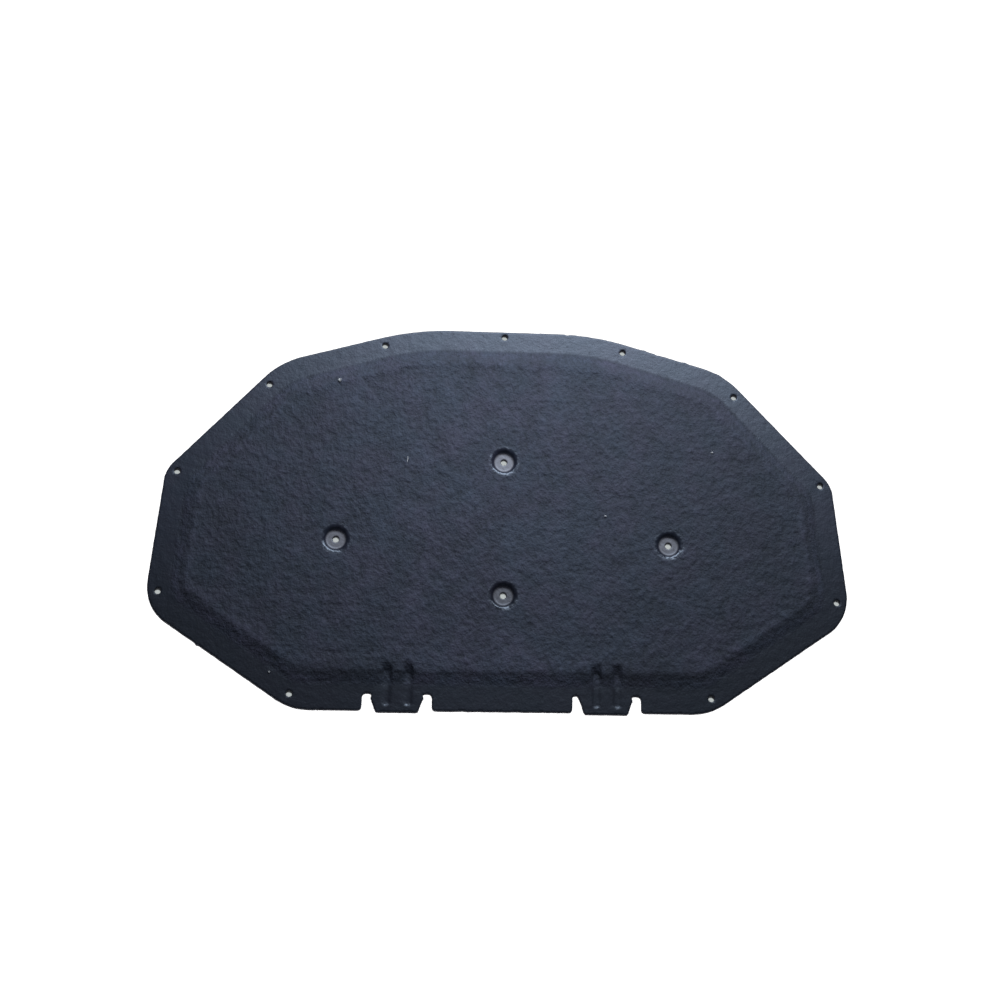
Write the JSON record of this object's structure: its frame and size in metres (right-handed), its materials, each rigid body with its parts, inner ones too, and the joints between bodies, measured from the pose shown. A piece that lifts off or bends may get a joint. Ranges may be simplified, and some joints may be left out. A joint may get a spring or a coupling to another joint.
{
  "type": "hood insulation pad",
  "caption": "Moulded felt pad for the inside of a car hood, with a thin rim, clip holes, a thick chamfered field, round clip seats and two grooved tabs.",
  "frame": {"origin": "middle of the pad's footprint, at its flat back", "axes": "+X across the car, +Y from the tabs towards the long curved far edge, +Z out of the moulded face"},
  "size_m": [1.248, 0.7082, 0.011],
  "materials": {
    "felt": "hot-pressed blue-black fibre felt, smoother on the thin rim and fuzzy on the thick field"
  },
  "bodies": {
    "root": {"hood_pad": "felt"}
  },
  "joints": []
}
